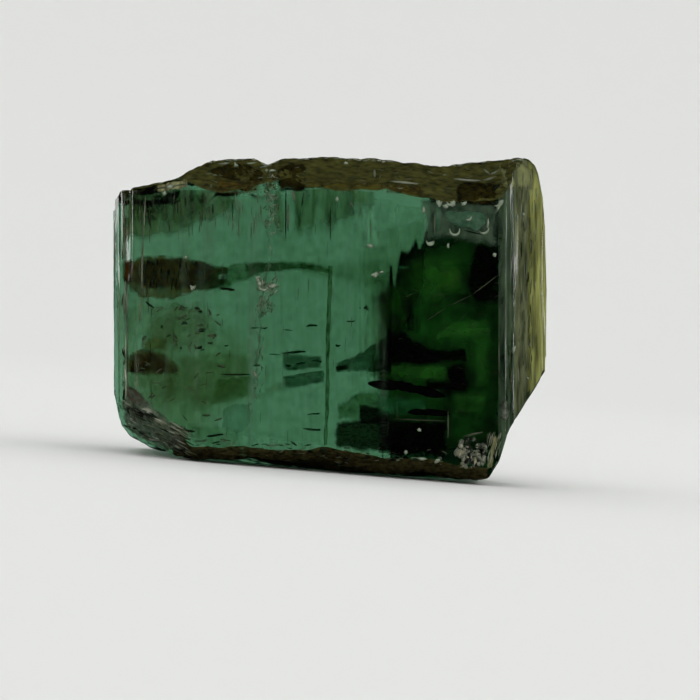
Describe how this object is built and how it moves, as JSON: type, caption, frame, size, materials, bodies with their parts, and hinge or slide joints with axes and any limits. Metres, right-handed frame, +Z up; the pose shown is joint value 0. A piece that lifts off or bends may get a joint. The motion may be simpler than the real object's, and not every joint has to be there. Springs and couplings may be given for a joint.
{
  "type": "tourmaline crystal",
  "caption": "Broken length of a ridged green tourmaline prism with an olive rim, standing on its flat broken base.",
  "frame": {"origin": "on the ground, under the centre of the crystal's bounding box", "axes": "+Z up. +X to the right along the crystal's widest side, seen from the broad front face. +Y from the broad front face to the back. The prism's own long growth axis leans 4.7 degrees from +Z towards -X."},
  "size_m": [0.0206, 0.0114, 0.015],
  "materials": {
    "green_crystal": "clear, glossy, finely ridged"
  },
  "bodies": {
    "root": {"tourmaline_crystal": "green_crystal"}
  },
  "joints": []
}
